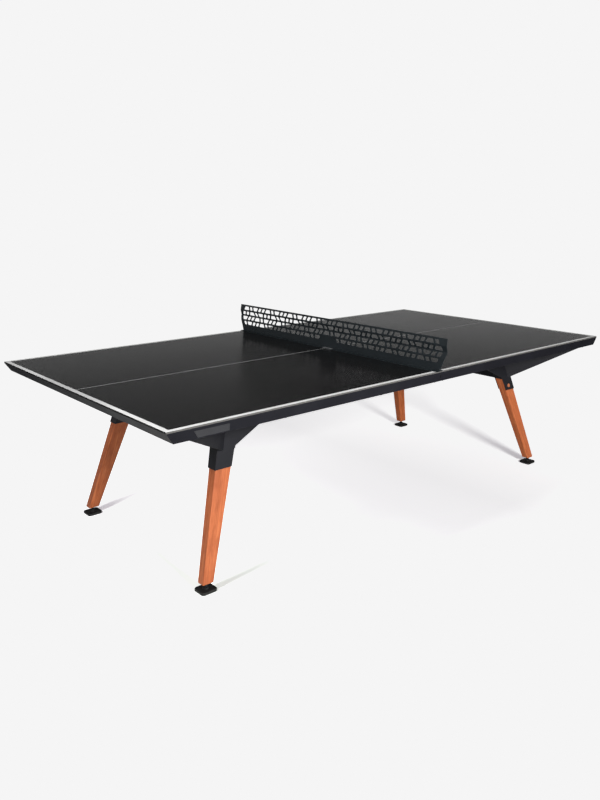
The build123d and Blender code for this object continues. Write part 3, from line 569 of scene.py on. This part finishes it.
def floor_material():
    """A pale floor, evenly bright where nothing shades it, that fades into the backdrop."""
    material, tree, shader = new_material("studio_floor")
    here = place(tree)
    camera_ray = add_node(tree, "ShaderNodeLightPath").outputs["Is Camera Ray"]
    dapple = [(0.3, scaled(FLOOR_TONE, FLOOR_DAPPLE)), (0.7, scaled(FLOOR_TONE, 1.0))]
    tone = ramp(tree, noise(tree, here, 60, 4), dapple)
    dimmed = blend(tree, 1.0, tone, grey(ROOM_BOUNCE), "MULTIPLY")
    tone = blend(tree, camera_ray, dimmed, tone)
    feed(tree, shader, Base_Color=tone, Roughness=0.8, Specular_IOR_Level=0.0)
    room_glow = glow(tree, grey(1.0), ROOM_FILL)
    fill = blend_shaders(tree, camera_ray, room_glow, glow(tree, top_up(tree, here)))
    lit = add_node(tree, "ShaderNodeAddShader", {0: shader.outputs[0], 1: fill}).outputs[0]
    beyond = blend_shaders(tree, camera_ray, room_glow, glow(tree, grey(1.0), SEEN_LEVEL))
    fade = span(tree, vector_calc(tree, "LENGTH", here), LIT_RADIUS, DARK_RADIUS)
    seen = blend_shaders(tree, fade, lit, beyond)
    # Seen from below, the floor is clear, so the underside can be looked at.
    clear = add_node(tree, "ShaderNodeBsdfTransparent").outputs[0]
    from_below = add_node(tree, "ShaderNodeNewGeometry").outputs["Backfacing"]
    output = next(node for node in tree.nodes if node.type == "OUTPUT_MATERIAL")
    tree.links.new(blend_shaders(tree, from_below, seen, clear), output.inputs["Surface"])
    return material


def make_floor():
    """A large round floor."""
    builder = bmesh.new()
    circles = [
        [builder.verts.new(point) for point in ring((0, 0), 0, [radius] * FLOOR_SIDES)]
        for radius in FLOOR_CIRCLES
    ]
    middle = builder.verts.new((0, 0, 0))
    for index in range(FLOOR_SIDES):
        following = (index + 1) % FLOOR_SIDES
        builder.faces.new((middle, circles[0][index], circles[0][following]))
        for inner, outer in zip(circles, circles[1:]):
            builder.faces.new((inner[index], outer[index], outer[following], inner[following]))
    floor = new_object("studio_floor", builder, floor_material())
    return floor


def make_world():
    """A bright low backdrop under a dim ceiling, and an even pale tone behind the object."""
    world = bpy.data.worlds.new("studio")
    bpy.context.scene.world = world
    world.use_nodes = True
    tree = world.node_tree
    tree.nodes.clear()
    camera_ray = add_node(tree, "ShaderNodeLightPath").outputs["Is Camera Ray"]
    direction = add_node(tree, "ShaderNodeTexCoord").outputs["Generated"]
    height = component(tree, direction, "Z")
    strength = span(tree, height, BACKDROP_FULL, BACKDROP_END, BACKDROP_LIGHT, CEILING_LIGHT)
    lit = add_node(tree, "ShaderNodeBackground", {"Color": grey(1.0), "Strength": strength})
    seen = add_node(tree, "ShaderNodeBackground", {"Color": grey(1.0), "Strength": SEEN_LEVEL})
    mixed = blend_shaders(tree, camera_ray, lit.outputs[0], seen.outputs[0])
    add_node(tree, "ShaderNodeOutputWorld", {"Surface": mixed})


# ---- lights and camera --------------------------------------------------------------------

def softbox(name, position, target, size, power, linked=None, state="INCLUDE"):
    """A rectangular area light aimed at a point; it may light only one object, or all but one."""
    data = bpy.data.lights.new(name, "AREA")
    data.shape = "RECTANGLE"
    data.size, data.size_y = size
    data.energy = power
    lamp = bpy.data.objects.new(name, data)
    lamp.location = position
    aim = Vector(target) - Vector(position)
    lamp.rotation_euler = aim.to_track_quat("-Z", "Y").to_euler()
    bpy.context.scene.collection.objects.link(lamp)
    if linked is not None:
        receivers = bpy.data.collections.new(f"{name}_receivers")
        receivers.objects.link(linked)
        receivers.collection_objects[0].light_linking.link_state = state
        lamp.light_linking.receiver_collection = receivers


floor = make_floor()
make_world()
for lamp_name, (position, target, size, power, extra) in KEY_LIGHTS.items():
    softbox(lamp_name, position, target, size, power)
    softbox(f"{lamp_name}_floor", position, target, size, extra, floor)
softbox("overhead", OVERHEAD_PLACE, (0, 0, 0), OVERHEAD_SIZE, OVERHEAD_POWER, floor, "EXCLUDE")

# The camera was solved from the table's corners, its lines and its feet in the photograph.
CAMERA_PLACE = (-2.507, -2.885, 1.486)
CAMERA_AZIMUTH = math.radians(-43.644)
CAMERA_ELEVATION = math.radians(10.7105)
CAMERA_ROLL = math.radians(0.282)
CAMERA_LENS, CAMERA_SENSOR = 33.417, 36.0
CAMERA_SHIFT = (-0.0796, -0.0663)


def make_camera():
    """The camera at the photograph's place, turned by azimuth, elevation and roll."""
    azimuth, elevation, roll = CAMERA_AZIMUTH, CAMERA_ELEVATION, CAMERA_ROLL
    back = Vector((
        math.sin(azimuth) * math.cos(elevation),
        -math.cos(azimuth) * math.cos(elevation),
        math.sin(elevation),
    ))
    level = (-back).cross(Vector((0, 0, 1))).normalized()
    upright = level.cross(-back)
    right = level * math.cos(roll) + upright * math.sin(roll)
    up = upright * math.cos(roll) - level * math.sin(roll)
    data = bpy.data.cameras.new("camera")
    data.lens = CAMERA_LENS
    data.sensor_width = CAMERA_SENSOR
    data.shift_x, data.shift_y = CAMERA_SHIFT
    camera = bpy.data.objects.new("camera", data)
    turned = Matrix((right, up, back)).transposed().to_4x4()
    camera.matrix_world = Matrix.Translation(CAMERA_PLACE) @ turned
    bpy.context.scene.collection.objects.link(camera)
    bpy.context.scene.camera = camera


make_camera()
view = bpy.context.scene.view_settings
view.view_transform = "Standard"
view.use_curve_mapping = True
view.curve_mapping.curves[3].points[1].location = (1.0, WHITE_LEVEL)
view.curve_mapping.extend = "HORIZONTAL"
view.curve_mapping.update()
